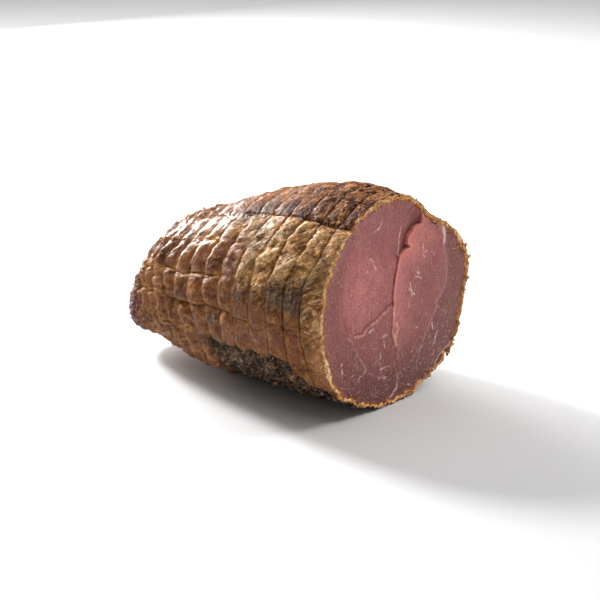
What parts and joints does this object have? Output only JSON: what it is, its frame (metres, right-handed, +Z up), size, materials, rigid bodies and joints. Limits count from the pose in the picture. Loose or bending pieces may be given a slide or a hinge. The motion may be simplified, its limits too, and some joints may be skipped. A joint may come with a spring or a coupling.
{
  "type": "smoked ham",
  "caption": "Boned and rolled smoked ham with a net-marked rind, cut square across at its thick end to show the cured meat.",
  "frame": {"origin": "middle of the bounding box, at the underside that the ham rests on", "axes": "+X towards the cut face along the ham's length, +Z up"},
  "size_m": [0.188, 0.148, 0.1358],
  "materials": {
    "smoked_rind": "smoked rind, satin to glossy on the crowns, with dull dark grooves"
  },
  "bodies": {
    "root": {"ham": "smoked_rind"}
  },
  "joints": []
}
